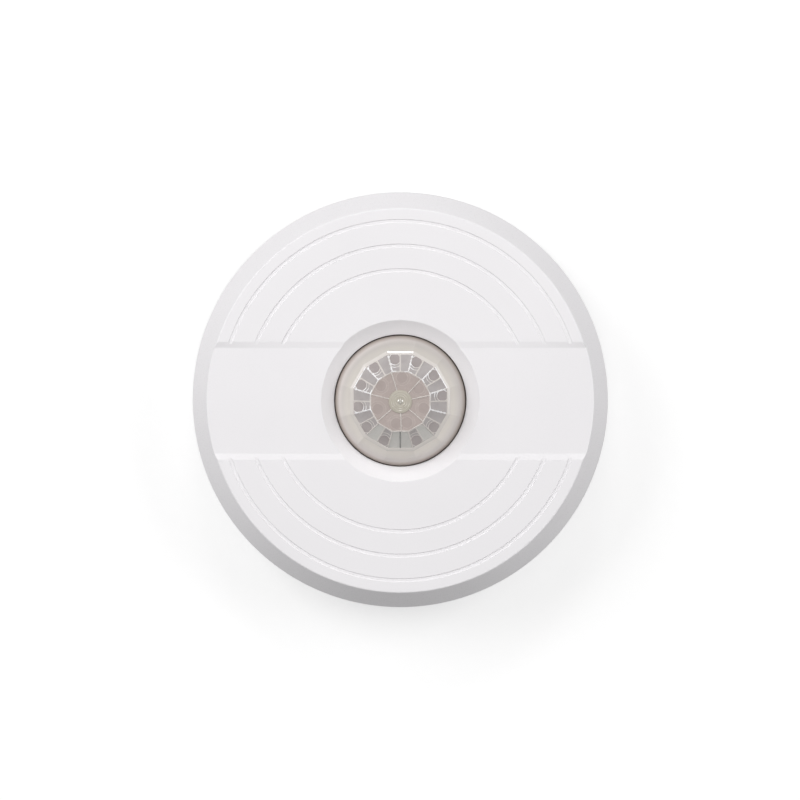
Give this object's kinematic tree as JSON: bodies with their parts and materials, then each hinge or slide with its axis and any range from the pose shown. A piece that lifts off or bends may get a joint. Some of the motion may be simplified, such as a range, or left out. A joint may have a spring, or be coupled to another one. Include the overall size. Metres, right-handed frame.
{
  "type": "ceiling passive infrared detector",
  "caption": "Round white ceiling detector with a faceted twelve-sided lens in a concave collar, a clip-on cover with arc grooves, and a slotted base plate that carries its circuit board.",
  "frame": {"origin": "centre of the flat back face that goes against the ceiling", "axes": "+Z out of the back face towards the lens, +Y the top of the face as seen from the front, +X to its right, over the cable entry"},
  "size_m": [0.13, 0.13, 0.0345],
  "materials": {
    "cover_plastic": "glossy moulded white",
    "lens_plastic": "satin translucent white",
    "inner_plastic": "fine matt white",
    "screw_steel": "bright zinc",
    "board_laminate": "green solder mask",
    "spacer_plastic": "matt",
    "sensor_metal": "nickel plated",
    "filter_window": "dark coated filter",
    "terminal_plastic": "matt green",
    "clamp_metal": "tin plated",
    "relay_case": "matt black",
    "switch_case": "matt black",
    "plunger_plastic": "matt red",
    "trimmer_case": "satin blue",
    "rotor_plastic": "matt white",
    "option_case": "satin red",
    "slider_plastic": "matt white",
    "lamp_resin": "tinted clear",
    "chip_resin": "fine matt black",
    "resistor_film": "black film on white ends",
    "ceramic": "tan ceramic",
    "capacitor_sleeve": "shrunk sleeve"
  },
  "bodies": {
    "base": {"base_plate": "inner_plastic", "circuit_board": "board_laminate", "board_screws": "screw_steel", "sensor_spacer": "spacer_plastic", "sensor_header": "sensor_metal", "sensor_can": "sensor_metal", "sensor_window": "filter_window", "terminal_housing": "terminal_plastic", "terminal_clamps": "clamp_metal", "terminal_screws": "screw_steel", "relay": "relay_case", "tamper_switch_body": "switch_case", "trimmer_body": "trimmer_case", "option_switch_body": "option_case", "walk_test_led": "lamp_resin", "control_chip": "chip_resin", "amplifier_chip": "chip_resin", "voltage_regulator": "chip_resin", "protection_diode": "chip_resin", "chip_resistors": "resistor_film", "chip_capacitors": "ceramic", "reservoir_capacitor_1": "capacitor_sleeve", "reservoir_capacitor_2": "capacitor_sleeve"},
    "cover": {"front_cover": "cover_plastic", "lens": "lens_plastic", "lens_ring": "inner_plastic", "lens_screws": "screw_steel"},
    "plunger": {"tamper_plunger": "plunger_plastic"},
    "rotor": {"trimmer_rotor": "rotor_plastic"},
    "slider_1": {"option_slider_1": "slider_plastic"},
    "slider_2": {"option_slider_2": "slider_plastic"}
  },
  "joints": [
    {"name": "cover_lift", "type": "slide", "parent": "base", "child": "cover", "axis": [0, 0, 1], "range_m": [0, 0.04]},
    {"name": "plunger_travel", "type": "slide", "parent": "base", "child": "plunger", "axis": [0, 0, 1], "range_m": [0, 0.001]},
    {"name": "trimmer_turn", "type": "hinge", "parent": "base", "child": "rotor", "pos_m": [-0.005, -0.02899, 0.014], "axis": [0, 0, 1], "range_deg": [-135, 135]},
    {"name": "option_slide_1", "type": "slide", "parent": "base", "child": "slider_1", "axis": [0, 1, 0], "range_m": [0, 0.0015]},
    {"name": "option_slide_2", "type": "slide", "parent": "base", "child": "slider_2", "axis": [0, -1, 0], "range_m": [0, 0.0015]}
  ],
  "couplings": [
    {"joint": "plunger_travel", "follows": "cover_lift", "ratio": 0.025}
  ]
}
